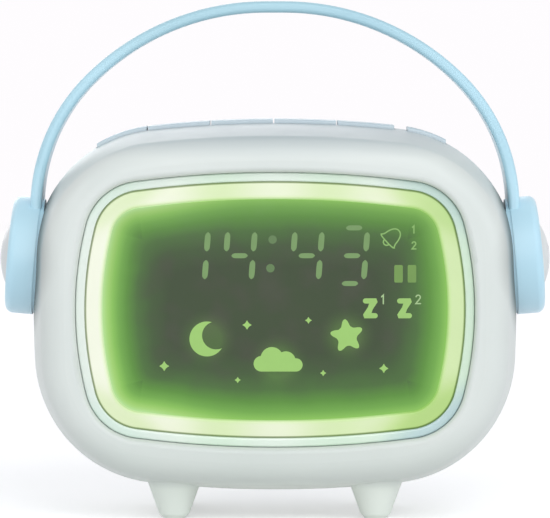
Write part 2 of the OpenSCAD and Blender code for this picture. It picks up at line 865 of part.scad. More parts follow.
module carry_handle() {
    color([0.71, 0.86, 0.91]) {
        difference() {
            rotate([90, 0, 0]) {
                sweep(STRAP, [0 : 3]) strap_section();
                translate([-arch_flat, handle_top, 0]) rotate([90, 0, 90])
                    linear_extrude(2 * arch_flat) strap_section();
                both_sides() move([leg_x, leg_top, 0]) rotate([90, 0, 0])
                    linear_extrude(max(leg_top - pivot_z, tiny)) strap_section();
            }
            both_sides() friction_groove();
        }
        both_sides() difference() {
            union() {
                pivot_rod(ear_x, ear_x + ear_base_t, ear_r - 0.4);
                ear_frame() rotate_extrude() {
                    box2(0, 0, ear_r - ear_edge_r, ear_t);
                    box2(ear_r - ear_edge_r, 0, ear_r, ear_t - ear_edge_r);
                    intersection() {
                        translate([ear_r - ear_edge_r, ear_t - ear_edge_r]) circle(r = ear_edge_r);
                        box2(ear_r - ear_edge_r, ear_t - ear_edge_r, ear_r, ear_t);
                    }
                }
                pivot_rod(washer_x + washer_t, ear_x + 1, spigot_r);
            }
            ear_frame() translate([0, 0, ear_t - 1]) cylinder(r = cap_r + 0.2, h = 3);
            pivot_rod(washer_x, washer_x + washer_t + 8, screw_r + 0.05);
            friction_groove();
        }
    }
}

module ear_cap() {
    dome = cap_rise - 0.2;
    dome_r = (cap_r * cap_r + dome * dome) / (2 * dome);
    color([0.86, 0.87, 0.86]) ear_frame() rotate_extrude() intersection() {
        translate([0, ear_t + cap_rise - dome_r]) circle(r = dome_r, $fn = 360);
        box2(0, ear_t - 1, cap_r, ear_t + cap_rise + 1);
    }
}

module ear_cap_left() { mirror([1, 0, 0]) ear_cap(); }
module ear_cap_right() { ear_cap(); }

module pivot_bush() {
    color([0.92, 0.92, 0.9]) difference() {
        pivot_rod(bush_in_x, pocket_x, bush_r);
        pivot_rod(bush_in_x - 1, pocket_x + 1, spigot_r + spigot_clear);
    }
}

module pivot_bush_left() { mirror([1, 0, 0]) pivot_bush(); }
module pivot_bush_right() { pivot_bush(); }

// Rubber rings in the round ends that hold the handle where it is left
module friction_rings() {
    color([0.2, 0.2, 0.2]) both_sides() difference() {
        pivot_rod(pocket_x + 0.1, ear_x + ring_groove, ring_outer);
        pivot_rod(pocket_x, ear_x + 1, ring_inner);
    }
}

module pivot_washers() {
    color([0.7, 0.7, 0.72]) both_sides() difference() {
        pivot_rod(washer_x, washer_x + washer_t, washer_r);
        pivot_rod(washer_x - 1, washer_x + washer_t + 1, screw_r + 0.2);
    }
}

module pivot_screws() {
    color([0.75, 0.75, 0.77]) both_sides() {
        pivot_rod(washer_x - 1.8, washer_x, screw_head_r);
        pivot_rod(washer_x - tiny, washer_x + washer_t + 7, screw_r);
    }
}

// ---- Sound, power and wires ----

speaker_seat = -half_d + wall;

module speaker_frame() {
    color([0.25, 0.25, 0.27]) face_frame() translate([0, speaker_up, speaker_seat])
        rotate_extrude() polygon([[speaker_r - 2.5, 0], [speaker_r, 0], [speaker_r, 1.6],
            [speaker_r - 2.4, 1.6], [11, 7], [11, 8.4], [9.6, 8.4], [9.6, 6.4]]);
}

module speaker_cone() {
    color([0.15, 0.15, 0.15]) face_frame() translate([0, speaker_up, speaker_seat])
        rotate_extrude() polygon([[0, 2.4], [4.8, 3.4], [5.4, 3.9], [speaker_r - 3.2, 0.1],
            [speaker_r - 2.8, 0.1], [speaker_r - 3.1, 0.5], [5.8, 4.8], [4.6, 4.4], [0, 3.2]]);
}

module speaker_magnet() {
    color([0.6, 0.6, 0.62]) face_frame()
        peg(0, speaker_up, speaker_seat + 8.4, speaker_seat + 13, 11.4);
}

module speaker_screws() {
    clamp_r = 2.7;
    color([0.75, 0.75, 0.77]) face_frame() for (sx = [-1, 1]) {
        difference() {
            union() {
                peg(sx * (speaker_r + 5), speaker_up, speaker_seat + 5.2, speaker_seat + 6, clamp_r);
                block(sx * (speaker_r + 1), speaker_up, 7, 4, speaker_seat + 6, speaker_seat + 6.8);
                block(sx * (speaker_r + 3.4), speaker_up, 2, 4, speaker_seat + 5.4,
                    speaker_seat + 6.8);
                block(sx * (speaker_r - 1.9), speaker_up, 1.2, 4, speaker_seat + 2.4,
                    speaker_seat + 6.8);
            }
        }
        peg(sx * (speaker_r + 5), speaker_up, speaker_seat + 6, speaker_seat + 7.2, screw_head_r * 0.8);
        peg(sx * (speaker_r + 5), speaker_up, speaker_seat + 1.4, speaker_seat + 6.1, screw_r * 0.75);
    }
}

// Cylinder along the width, in the face frame
module cross_rod(half_len, up, depth, r) {
    translate([-half_len, up, depth]) rotate([0, 90, 0]) cylinder(r = r, h = 2 * half_len);
}

module battery_cell() {
    color([0.3, 0.5, 0.75]) face_frame() cross_rod(cell_len / 2, cell_z, -cell_y, cell_r);
}

module battery_cradle() {
    slack = 0.2;
    end = cell_len / 2 + 1.5;
    wide = cell_r + 1.4;
    color([0.92, 0.92, 0.9]) face_frame() difference() {
        translate([-end, cell_z, -cell_y]) rotate([90, 0, 90]) linear_extrude(2 * end)
            polygon([[0, wide], [-4, wide], [-cradle_t, cell_r / 2 - 0.2],
                [-cradle_t, 0.2 - cell_r / 2], [-4, -wide], [0, -wide]]);
        cross_rod(cell_len / 2 + slack, cell_z + slack, -cell_y, cell_r + slack);
        translate([-10, cell_z - cradle_t - 1, -cell_y - 4]) cube([20, cradle_t, 8]);
    }
}

module usb_board() {
    color([0.12, 0.35, 0.22]) face_frame()
        block(usb_x, usb_z - usb_h / 2 - board_t / 2, 17.6, board_t,
            -half_d + wall + 0.2, -half_d + wall + 7);
}

module usb_socket() {
    color([0.75, 0.75, 0.77]) face_frame() difference() {
        union() {
            for (sx = [-1, 1])
                peg(usb_x + sx * (usb_w - usb_h) / 2, usb_z, -half_d + 0.4, -half_d + 7.6, usb_h / 2);
            block(usb_x, usb_z, usb_w - usb_h, usb_h, -half_d + 0.4, -half_d + 7.6);
        }
        difference() {
            block(usb_x, usb_z, usb_w - 1.4, usb_h - 0.7, -half_d, -half_d + 6.6);
            block(usb_x, usb_z, usb_w - 3, 0.7, -half_d - 1, -half_d + 7);
        }
    }
}

// A wire along a few straight stretches
module wire(points, r) {
    for (i = [0 : len(points) - 2]) {
        from = points[i];
        step = points[i + 1] - from;
        size = norm(step);
        translate(from) rotate([0, acos(step[2] / size), atan2(step[1], step[0])])
            cylinder(r = r, h = size);
    }
    for (i = [1 : len(points) - 2]) translate(points[i]) sphere(r = r);
}

lead_r = 0.9;

module battery_lead() {
    top = main_board_front - board_t;
    lead_x = cell_len / 2 + lead_r + 0.3;
    color([0.8, 0.15, 0.12]) face_frame()
        wire([[lead_x, cell_z + 0.3, -cell_y + 4], [lead_x, cell_z + 10, -cell_y + 4],
            [lead_x, cell_z + 10, top - 0.3]], lead_r);
}

module speaker_lead() {
    top = main_board_front - board_t;
    color([0.15, 0.15, 0.16]) face_frame()
        wire([[-12.4, speaker_up, speaker_seat + 10], [-30, speaker_up, speaker_seat + 10],
            [-30, speaker_up, top]], lead_r);
}

// Flat cable from the key board down to the main board
module key_ribbon() {
    back = main_board_front - board_t;
    color([0.85, 0.85, 0.88]) face_frame()
        block(-4, (key_board_up + 20) / 2, 12, key_board_up - 20, back - 0.6, back);
}

module case_screws() {
    color([0.75, 0.75, 0.77]) face_frame()
        four_corners() screw(post_x, post_z, well_floor, 16);
}

front_shell();
rear_shell();
lens_trim();
light_ring();
display_window();
segment_diffuser();
light_box();
light_board();
ring_leds();
segment_leds();
light_box_screws();
light_board_screws();
board_standoffs();
main_board();
main_board_chips();
main_board_screws();
link_header();
key_board();
key_board_screws();
key_switches();
key_1();
key_2();
key_3();
key_4();
key_5();
key_6();
stem_1();
stem_2();
stem_3();
stem_4();
stem_5();
stem_6();
carry_handle();
ear_cap_left();
ear_cap_right();
pivot_bush_left();
pivot_bush_right();
friction_rings();
pivot_washers();
pivot_screws();
speaker_frame();
speaker_cone();
speaker_magnet();
speaker_screws();
battery_cell();
battery_cradle();
usb_board();
usb_socket();
battery_lead();
speaker_lead();
key_ribbon();
case_screws();
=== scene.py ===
import bpy, bmesh, json, math
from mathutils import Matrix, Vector


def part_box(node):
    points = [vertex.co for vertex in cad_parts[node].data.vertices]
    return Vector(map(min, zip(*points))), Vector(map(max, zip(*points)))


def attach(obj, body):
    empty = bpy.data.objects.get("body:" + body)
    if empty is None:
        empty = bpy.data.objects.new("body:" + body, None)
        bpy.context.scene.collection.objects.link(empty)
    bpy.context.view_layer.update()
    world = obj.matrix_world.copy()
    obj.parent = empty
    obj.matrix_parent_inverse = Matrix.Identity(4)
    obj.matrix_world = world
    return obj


# Looks for a bedside clock with a glowing ring. Metres, same frame as the CAD part:
# +X right, -Y towards the viewer, +Z up, table at z = 0.

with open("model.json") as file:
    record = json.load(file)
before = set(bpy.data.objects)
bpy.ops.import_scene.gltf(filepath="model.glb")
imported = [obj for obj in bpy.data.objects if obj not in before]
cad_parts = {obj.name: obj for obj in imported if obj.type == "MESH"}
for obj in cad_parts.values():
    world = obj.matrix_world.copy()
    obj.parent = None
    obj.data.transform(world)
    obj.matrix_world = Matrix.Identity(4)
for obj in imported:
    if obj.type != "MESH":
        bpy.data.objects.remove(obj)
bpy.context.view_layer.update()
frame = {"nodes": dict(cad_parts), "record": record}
nodes = frame["nodes"]
mm = 0.001
scene = bpy.context.scene
scene.view_settings.view_transform = "Standard"


cameraSettings = {
    "lens": 273.6,          # long lens, as a product shot has
    "sensor": 36,
    "farEnd": 20,
    "distance": 1.1,
    "aimHeight": 66.6 * mm,
    "lookDown": 3.3,        # degrees
}


def addCamera(s):
    data = bpy.data.cameras.new("productCamera")
    data.lens = s["lens"]
    data.sensor_width = s["sensor"]
    data.clip_end = s["farEnd"]
    camera = bpy.data.objects.new("productCamera", data)
    down = math.radians(s["lookDown"])
    camera.location = (0, -s["distance"] * math.cos(down), s["aimHeight"] + s["distance"] * math.sin(down))
    camera.rotation_euler = (math.radians(90) - down, 0, 0)
    scene.collection.objects.link(camera)
    scene.camera = camera


addCamera(cameraSettings)
print("camera placed")


# A screen colour, 0 to 255, as the linear values that sockets take
def linear(r, g, b):
    return tuple(c / 255 / 12.92 if c <= 10 else ((c / 255 + 0.055) / 1.055) ** 2.4 for c in (r, g, b)) + (1,)


# Links a socket to a socket, or sets a plain value on it
def plug(tree, socket, value):
    if isinstance(value, bpy.types.NodeSocket):
        tree.links.new(value, socket)
    else:
        socket.default_value = value


def add(tree, kind, inputs=None, **settings):
    node = tree.nodes.new(kind)
    for name, value in settings.items():
        setattr(node, name, value)
    for name, value in (inputs or {}).items():
        plug(tree, node.inputs[name], value)
    return node


def feed(tree, shader, inputs):
    for name, value in inputs.items():
        plug(tree, shader.inputs[name], value)


def calc(tree, operation, *values):
    return add(tree, "ShaderNodeMath", dict(enumerate(values)), operation=operation).outputs[0]


def times(tree, *values):
    result = values[0]
    for value in values[1:]:
        result = calc(tree, "MULTIPLY", result, value)
    return result


def hypotenuse(tree, a, b):
    return calc(tree, "SQRT", calc(tree, "ADD", times(tree, a, a), times(tree, b, b)))


# Carries a value from one range to another and holds it at the ends
def spread(tree, value, low, high, toLow=0.0, toHigh=1.0, kind="LINEAR"):
    inputs = {"Value": value, "From Min": low, "From Max": high, "To Min": toLow, "To Max": toHigh}
    return add(tree, "ShaderNodeMapRange", inputs, interpolation_type=kind).outputs["Result"]


# 1 up to a radius, falling to 0 over the reach beyond it
def fallOff(tree, away, radius, reach):
    past = calc(tree, "DIVIDE", calc(tree, "SUBTRACT", away, radius), reach)
    return calc(tree, "SUBTRACT", 1.0, add(tree, "ShaderNodeClamp", {"Value": past}).outputs[0])


def separate(tree, vector):
    return add(tree, "ShaderNodeSeparateXYZ", {"Vector": vector}).outputs


def mixColour(tree, factor, a, b, blend="MIX"):
    node = add(tree, "ShaderNodeMix", {0: factor, 6: a, 7: b}, data_type="RGBA", blend_type=blend)
    return node.outputs[2]


def tinted(tree, colour, tint):
    return mixColour(tree, 1.0, colour, tint, "MULTIPLY")


def grey(tree, level):
    return add(tree, "ShaderNodeCombineColor", {0: level, 1: level, 2: level}).outputs[0]


def ramp(tree, factor, stops):
    node = add(tree, "ShaderNodeValToRGB", {"Fac": factor})
    elements = node.color_ramp.elements
    while len(elements) < len(stops):
        elements.new(0.5)
    for element, (position, colour) in zip(elements, sorted(stops)):
        element.position = position
        element.color = colour
    return node.outputs["Color"]


def bump(tree, height, strength, distance):
    inputs = {"Height": height, "Strength": strength, "Distance": distance}
    return add(tree, "ShaderNodeBump", inputs).outputs[0]


# An input without a value is a vector, and every output is a number
def newGroup(name, inputs, outputs):
    group = bpy.data.node_groups.new(name, "ShaderNodeTree")
    for label, value in inputs.items():
        kind = "NodeSocketVector" if value is None else "NodeSocketFloat"
        socket = group.interface.new_socket(label, in_out="INPUT", socket_type=kind)
        if value is not None:
            socket.default_value = value
    for label in outputs:
        group.interface.new_socket(label, in_out="OUTPUT", socket_type="NodeSocketFloat")
    return group, group.nodes.new("NodeGroupInput").outputs, group.nodes.new("NodeGroupOutput").inputs


def useGroup(tree, group, inputs):
    return add(tree, "ShaderNodeGroup", inputs, node_tree=group).outputs


# Moulded surface: fine spark texture, soft flow tone and light handling scuffs
def buildSurfaceGroup():
    t, given, out = newGroup(
        "mouldedSurface", {"Position": None, "Grain Size": 0.0005, "Tone Size": 0.03, "Scuff Size": 0.008},
        ["Height", "Tone", "Scuff"])

    def noise(size, detail, rough):
        inputs = {"Vector": given["Position"], "Scale": calc(t, "DIVIDE", 1.0, size), "Detail": detail,
                  "Roughness": rough}
        return add(t, "ShaderNodeTexNoise", inputs).outputs["Fac"]

    t.links.new(noise(given["Grain Size"], 2, 0.5), out["Height"])
    t.links.new(noise(given["Tone Size"], 2, 0.45), out["Tone"])
    t.links.new(spread(t, noise(given["Scuff Size"], 6, 0.7), 0.5, 0.72), out["Scuff"])
    return t


# Slopes at which a corner's arc meets the top's and the side's, and how softly those two blend
edgeShape = {"cornerTop": 0.255, "cornerSide": 0.132, "blend": 6 * mm}


# Depth inside a rounded form of eight tangent arcs, in metres from its edge and below zero outside it
def buildEdgeGroup(s):
    t, given, out = newGroup(
        "depthFromEdge",
        {"Position": None, "Half Width": 0.04, "Half Height": 0.03, "Corner Middle": None,
         "Corner Radius": 0.008, "Side Radius": 0.08, "Top Radius": 0.27}, ["Depth"])

    def within(radius, x, z):
        return calc(t, "SUBTRACT", radius, hypotenuse(t, x, z))

    def beyond(along, half, radius):
        return calc(t, "SUBTRACT", along, calc(t, "SUBTRACT", half, radius))

    def past(across, along, slope):
        return calc(t, "GREATER_THAN", across, times(t, calc(t, "MAXIMUM", along, 0.0), slope))

    flat = add(t, "ShaderNodeVectorMath", {0: given["Position"]}, operation="ABSOLUTE").outputs[0]
    parts, corner = separate(t, flat), separate(t, given["Corner Middle"])
    cornerX = calc(t, "SUBTRACT", parts["X"], corner["X"])
    cornerZ = calc(t, "SUBTRACT", parts["Z"], corner["Z"])
    bend = within(given["Corner Radius"], cornerX, cornerZ)
    side = within(given["Side Radius"], beyond(parts["X"], given["Half Width"], given["Side Radius"]), parts["Z"])
    top = within(given["Top Radius"], parts["X"], beyond(parts["Z"], given["Half Height"], given["Top Radius"]))
    straight = calc(t, "SMOOTH_MIN", side, top, s["blend"])
    inCorner = times(t, past(cornerZ, cornerX, s["cornerTop"]), past(cornerX, cornerZ, s["cornerSide"]))
    apart = times(t, inCorner, calc(t, "SUBTRACT", bend, straight))
    t.links.new(calc(t, "ADD", straight, apart), out["Depth"])
    return t


# Soft halo round a lit picture
def buildHaloGroup():
    t, given, out = newGroup("softHalo", {"Position": None, "Centre": None, "Radius": 0.004, "Reach": 0.004},
                             ["Mask"])
    away = add(t, "ShaderNodeVectorMath", {0: given["Position"], 1: given["Centre"]}, operation="DISTANCE")
    clear = fallOff(t, away.outputs["Value"], given["Radius"], given["Reach"])
    t.links.new(times(t, clear, clear), out["Mask"])
    return t


# Places are shares of the half width and half height, and each pair is where an effect starts and is full
glowShape = {
    "level": 0.45,          # share of green in the middle
    "left": ((0.35, 0.95), -0.33),
    "right": ((0.4, 0.85), 0.25),
    "rightLean": 0.2,
    "corner": ((0.56, 0.74), 0.23),
    "cornerLean": -0.08,
    "bands": (0.6, 0.9),    # where single lamps show, above and below the window
    "dull": (0.45, 0.7),    # corners where the glow is weaker, least at the left and high up
    "dullUp": ((-0.6, 0.4), -0.4),
    "dullRight": ((-0.7, 0.5), 0.75),
}


# How green the glow is: whitest at the left and over each lamp, greenest at the right and in the corners
def buildGlowTintGroup(s):
    t, given, out = newGroup(
        "glowTint", {"Position": None, "Half Width": 0.05, "Half Height": 0.03, "Lamp Pitch": 0.028,
                     "Lamp Share": 0.14}, ["Mask", "Corner"])

    def rise(value, ends):
        return spread(t, value, *ends, kind="SMOOTHSTEP")

    def plus(value, share, base):
        return calc(t, "MULTIPLY_ADD", value, share, base)

    parts = separate(t, given["Position"])
    x = calc(t, "DIVIDE", parts["X"], given["Half Width"])
    z = calc(t, "DIVIDE", parts["Z"], given["Half Height"])
    alongX, alongZ = calc(t, "ABSOLUTE", x), calc(t, "ABSOLUTE", z)
    left = rise(times(t, x, -1.0), s["left"][0])
    right = rise(calc(t, "SUBTRACT", x, times(t, z, s["rightLean"])), s["right"][0])
    corner = rise(times(t, alongX, alongZ), s["corner"][0])
    level = plus(left, s["left"][1], plus(right, s["right"][1], s["level"]))
    level = plus(corner, plus(x, s["cornerLean"], s["corner"][1]), level)
    wave = calc(t, "COSINE", calc(t, "DIVIDE", times(t, parts["X"], 2 * math.pi), given["Lamp Pitch"]))
    bands = times(t, rise(alongZ, s["bands"]), calc(t, "SUBTRACT", 1.0, corner))
    t.links.new(calc(t, "SUBTRACT", level, times(t, wave, bands, given["Lamp Share"])), out["Mask"])
    low = plus(rise(z, s["dullUp"][0]), s["dullUp"][1], 1.0)
    along = plus(rise(x, s["dullRight"][0]), s["dullRight"][1], 1.0 - s["dullRight"][1])
    t.links.new(times(t, rise(times(t, alongX, alongZ), s["dull"]), low, along), out["Corner"])
    return t


# Flank: metres from the middle where the painted shade starts and is full. It stretches to the front, not to the
# back
jointShadeShape = {"flank": (0.054, 0.058), "front": 0.8, "back": 1.15, "fall": 1.3}


# Painted shade on the case's flank round each round end of the handle, reaching furthest towards the front
def buildJointShadeGroup(s):
    t, given, out = newGroup(
        "paintedShadeBesideJoint", {"Position": None, "Pivot Height": 0.06, "Radius": 0.016, "Reach": 0.004}, ["Mask"])
    parts = separate(t, given["Position"])
    up = calc(t, "SUBTRACT", parts["Z"], given["Pivot Height"])
    along = calc(t, "MAXIMUM", times(t, parts["Y"], -s["front"]), times(t, parts["Y"], s["back"]))
    dark = fallOff(t, hypotenuse(t, up, along), given["Radius"], given["Reach"])
    outer = spread(t, calc(t, "ABSOLUTE", parts["X"]), *s["flank"])
    t.links.new(times(t, calc(t, "POWER", dark, s["fall"]), outer), out["Mask"])
    return t


surfaceGroup = buildSurfaceGroup()
edgeGroup = buildEdgeGroup(edgeShape)
haloGroup = buildHaloGroup()
glowTintGroup = buildGlowTintGroup(glowShape)
jointShadeGroup = buildJointShadeGroup(jointShadeShape)
print("node groups made")


def newMaterial(name):
    material = bpy.data.materials.new(name)
    material.use_nodes = True
    tree = material.node_tree
    tree.nodes.clear()
    shader = tree.nodes.new("ShaderNodeBsdfPrincipled")
    add(tree, "ShaderNodeOutputMaterial", {"Surface": shader.outputs[0]})
    place = add(tree, "ShaderNodeTexCoord").outputs["Object"]
    return material, tree, shader, place


# Sizes in mm
def surfaceOf(tree, place, grain, tone, scuff):
    return useGroup(tree, surfaceGroup, {"Position": place, "Grain Size": grain * mm, "Tone Size": tone * mm,
                                         "Scuff Size": scuff * mm})


# Moulded plastic: colour drifts a little, roughness follows handling, and the mould's spark grain shows close up.
# Some finishes add painted light and shade by height, and painted shade beside the handle's joints
def plasticFinish(name, s):
    material, tree, shader, place = newMaterial(name)
    surface = surfaceOf(tree, place, s["grain"], s["toneSize"], s["scuffSize"])
    colour = mixColour(tree, spread(tree, surface["Tone"], 0.3, 0.7), linear(*s["shade"]), linear(*s["colour"]))
    # Painted light and shade by height, multiplied into the colour
    if "paintedLightByHeight" in s:
        up = calc(tree, "DIVIDE", separate(tree, place)["Z"], paintedLightTop * mm)
        colour = tinted(tree, colour, ramp(tree, up, [(z / paintedLightTop, (*level, 1)) for z, level in s["paintedLightByHeight"]]))
    painted = colour
    # Painted shade on the case's flank beside each round end of the handle
    if "joint" in s:
        beside = useGroup(tree, jointShadeGroup, {"Position": place, "Pivot Height": pivotHeight,
                                             "Reach": s["joint"] * mm})
        painted = mixColour(tree, beside["Mask"], colour, linear(*s["jointPaintedShade"]))
    feed(tree, shader, {
        "Base Color": painted,
        "Roughness": calc(tree, "MULTIPLY_ADD", surface["Scuff"], s["scuff"], s["roughness"]),
        "Normal": bump(tree, surface["Height"], s["bump"], s["grain"] * mm * 0.1),
        "IOR": 1.49,
        "Coat Weight": s.get("coat", 0.0),
        "Coat Roughness": s.get("coatRoughness", 0.1)})
    return material


pivotLow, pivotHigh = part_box("pivot_bush_left")
pivotHeight = (pivotLow[2] + pivotHigh[2]) / 2

# Painted light and shade by height above the table in mm: lighter feet and round ends, darker just above the feet,
# and a painted shade greyer round the keys
paintedLightTop = 140
shellPaintedLight = [(8, (1.16, 1.17, 1.12)), (11, (0.9, 0.91, 0.9)), (18, (0.93, 0.94, 0.93)), (26, (1, 1, 1)),
                (94, (1, 1, 1)), (101.5, (0.67, 0.71, 0.76))]
handlePaintedLight = [(50, (1.16, 1.12, 1.13)), (84, (1.13, 1.1, 1.1)), (92, (1, 1, 1)), (116, (1, 1, 1)),
                 (129, (0.86, 0.88, 0.87))]

# Colours 0 to 255, sizes in mm
plasticSettings = {
    "shell_plastic": dict(colour=(220, 225, 222), shade=(214, 220, 217), roughness=0.4, scuff=0.07, bump=0.16,
                          grain=0.35, toneSize=38, scuffSize=9, coat=0.12, coatRoughness=0.3, joint=7.5,
                          jointPaintedShade=(92, 101, 98), paintedLightByHeight=shellPaintedLight),
    "key_plastic": dict(colour=(201, 214, 221), shade=(194, 208, 216), roughness=0.42, scuff=0.08, bump=0.14,
                        grain=0.3, toneSize=14, scuffSize=5),
    "handle_plastic": dict(colour=(178, 218, 233), shade=(171, 212, 229), roughness=0.46, scuff=0.08, bump=0.12,
                           grain=0.3, toneSize=30, scuffSize=7, coat=1.0, coatRoughness=0.42,
                           paintedLightByHeight=handlePaintedLight),
    "cap_plastic": dict(colour=(222, 226, 227), shade=(216, 221, 222), roughness=0.36, scuff=0.06, bump=0.1,
                        grain=0.3, toneSize=12, scuffSize=5, coat=0.15, coatRoughness=0.2),
    "white_plastic": dict(colour=(238, 238, 233), shade=(228, 228, 222), roughness=0.5, scuff=0.1, bump=0.25,
                          grain=0.4, toneSize=20, scuffSize=6),
    "black_plastic": dict(colour=(38, 38, 40), shade=(30, 30, 32), roughness=0.45, scuff=0.15, bump=0.2,
                          grain=0.2, toneSize=8, scuffSize=3),
    "rubber": dict(colour=(52, 52, 54), shade=(42, 42, 44), roughness=0.8, scuff=0.1, bump=0.4,
                   grain=0.25, toneSize=6, scuffSize=3),
    "wire_insulation": dict(colour=(150, 42, 34), shade=(132, 34, 28), roughness=0.45, scuff=0.1, bump=0.1,
                            grain=0.3, toneSize=10, scuffSize=3),
    "cell_wrap": dict(colour=(70, 118, 178), shade=(60, 104, 162), roughness=0.28, scuff=0.15, bump=0.15,
                      grain=0.8, toneSize=10, scuffSize=5),
    "ribbon_cable": dict(colour=(206, 206, 212), shade=(186, 186, 194), roughness=0.4, scuff=0.1, bump=0.3,
                         grain=1.0, toneSize=4, scuffSize=3),
    "lamp": dict(colour=(250, 240, 190), shade=(242, 226, 160), roughness=0.15, scuff=0.05, bump=0.05,
                 grain=0.2, toneSize=2, scuffSize=2),
}
finishes = {slot: plasticFinish(slot.replace("_", " ").title().replace(" ", ""), s)
            for slot, s in plasticSettings.items()}

metalSettings = {
    "colour": (190, 190, 194),
    "shade": (164, 164, 170),
    "lines": (300, 9000, 300),  # turning lines, close together along the second axis
    "roughness": 0.2,
    "drift": 0.2,
    "brush": 0.12,
    "depth": 0.05 * mm,
}


# Zinc plated steel with fine turning lines
def metalFinish(name, s):
    material, tree, shader, place = newMaterial(name)
    stretched = add(tree, "ShaderNodeMapping", {"Vector": place, "Scale": s["lines"]}).outputs[0]
    lines = add(tree, "ShaderNodeTexNoise", {"Vector": stretched, "Scale": 1.0, "Detail": 3}).outputs["Fac"]
    feed(tree, shader, {
        "Base Color": mixColour(tree, lines, linear(*s["shade"]), linear(*s["colour"])),
        "Metallic": 1.0,
        "Roughness": calc(tree, "MULTIPLY_ADD", lines, s["drift"], s["roughness"]),
        "Normal": bump(tree, lines, s["brush"], s["depth"])})
    return material


finishes["steel"] = metalFinish("ZincSteel", metalSettings)

boardSettings = {
    "mask": (28, 84, 54),
    "track": (46, 112, 72),
    "pitch": 2.2 * mm,
    "roughness": 0.35,
    "relief": 0.3,
    "depth": 0.04 * mm,
}


# Solder mask over copper tracks
def boardFinish(name, s):
    material, tree, shader, place = newMaterial(name)
    upright = add(tree, "ShaderNodeMapping", {"Vector": place, "Rotation": (math.pi / 2, 0, 0)}).outputs[0]
    tracks = add(tree, "ShaderNodeTexBrick",
                 {"Vector": upright, "Color1": (1, 1, 1, 1), "Color2": (0.7, 0.7, 0.7, 1), "Mortar": (0, 0, 0, 1),
                  "Scale": 1 / s["pitch"], "Mortar Size": 0.06, "Brick Width": 3.0, "Row Height": 1.0})
    level = add(tree, "ShaderNodeRGBToBW", {"Color": tracks.outputs["Color"]}).outputs[0]
    feed(tree, shader, {
        "Base Color": mixColour(tree, level, linear(*s["mask"]), linear(*s["track"])),
        "Roughness": s["roughness"],
        "Normal": bump(tree, level, s["relief"], s["depth"])})
    return material


finishes["board_laminate"] = boardFinish("SolderMask", boardSettings)

coneSettings = {
    "dark": (30, 30, 31),
    "light": (58, 57, 55),
    "fibre": 0.25 * mm,
    "cloud": 2 * mm,
    "roughness": 0.85,
    "relief": 0.5,
    "depth": 0.08 * mm,
}


# Pressed paper with loose fibres
def coneFinish(name, s):
    material, tree, shader, place = newMaterial(name)
    fibre = add(tree, "ShaderNodeTexVoronoi", {"Vector": place, "Scale": 1 / s["fibre"]}).outputs["Distance"]
    cloud = add(tree, "ShaderNodeTexNoise", {"Vector": place, "Scale": 1 / s["cloud"], "Detail": 5}).outputs["Fac"]
    feed(tree, shader, {
        "Base Color": mixColour(tree, cloud, linear(*s["dark"]), linear(*s["light"])),
        "Roughness": s["roughness"],
        "Normal": bump(tree, fibre, s["relief"], s["depth"])})
    return material


finishes["paper_cone"] = coneFinish("PressedPaper", coneSettings)
print("plain finishes made")


windowLow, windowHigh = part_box("display_window")
windowMiddle = (0, 0, (windowLow[2] + windowHigh[2]) / 2)
windowFront = windowLow[1]
halfWidth = (windowHigh[0] - windowLow[0]) / 2
halfHeight = (windowHigh[2] - windowLow[2]) / 2
bodyMiddle = 54.5 * mm      # the signs are laid out from here
windowEdge = {"Half Width": halfWidth, "Half Height": halfHeight, "Corner Middle": (34.02 * mm, 0, 18.17 * mm),
              "Corner Radius": 8.1 * mm, "Side Radius": 81.7 * mm, "Top Radius": 268.7 * mm}


# Position from the window's middle, and depth inside its edge
def windowPlace(tree, place):
    middle = add(tree, "ShaderNodeVectorMath", {0: place, 1: windowMiddle}, operation="SUBTRACT").outputs[0]
    return middle, useGroup(tree, edgeGroup, {"Position": middle, **windowEdge})["Depth"]


# Colour of the glow on a band round the window, margin in mm out from its edge
def glowColour(tree, middle, margin, stops):
    glow = useGroup(tree, glowTintGroup, {"Position": middle, "Half Width": halfWidth + margin * mm,
                                          "Half Height": halfHeight + margin * mm})
    return ramp(tree, glow["Mask"], [(share, linear(*c)) for share, c in stops]), glow["Corner"]


ringSettings = {
    # Colour of the glow by its share of green
    "stops": [(0.0, (248, 249, 238)), (0.22, (240, 245, 224)), (0.42, (229, 240, 206)), (0.62, (216, 235, 184)),
              (0.78, (204, 228, 167)), (1.0, (187, 219, 147))],
    # Brightness by distance out from the window in mm
    "across": [(0.1, (216, 236, 200)), (0.4, (238, 252, 222)), (0.7, (248, 255, 240)), (1.2, (255, 255, 255)),
               (4.0, (255, 255, 254)), (4.25, (172, 182, 158)), (4.5, (150, 160, 138))],
    "width": 5,             # mm
    "margin": 2.5,
    "corner": (232, 243, 208),
    "body": (148, 150, 144),
    "lampSpread": 0.08,
    "roughness": 0.3,
    "glow": 0.66,
}


# Milky ring with lamps behind it
def ringFinish(name, s):
    material, tree, shader, place = newMaterial(name)
    middle, depth = windowPlace(tree, place)
    surface = surfaceOf(tree, place, 0.3, 9, 6)
    colour, corner = glowColour(tree, middle, s["margin"], s["stops"])
    colour = mixColour(tree, corner, colour, tinted(tree, colour, linear(*s["corner"])))
    outwards = calc(tree, "DIVIDE", depth, -s["width"] * mm)
    colour = tinted(tree, colour, ramp(tree, outwards, [(d / s["width"], linear(*c)) for d, c in s["across"]]))
    uneven = calc(tree, "MULTIPLY_ADD", surface["Tone"], s["lampSpread"], 1 - s["lampSpread"] / 2)
    feed(tree, shader, {
        "Base Color": tinted(tree, colour, linear(*s["body"])),
        "Roughness": calc(tree, "MULTIPLY_ADD", surface["Scuff"], 0.08, s["roughness"]),
        "Normal": bump(tree, surface["Height"], 0.05, 0.02 * mm),
        "Emission Color": tinted(tree, colour, grey(tree, uneven)),
        "Emission Strength": s["glow"]})
    return material


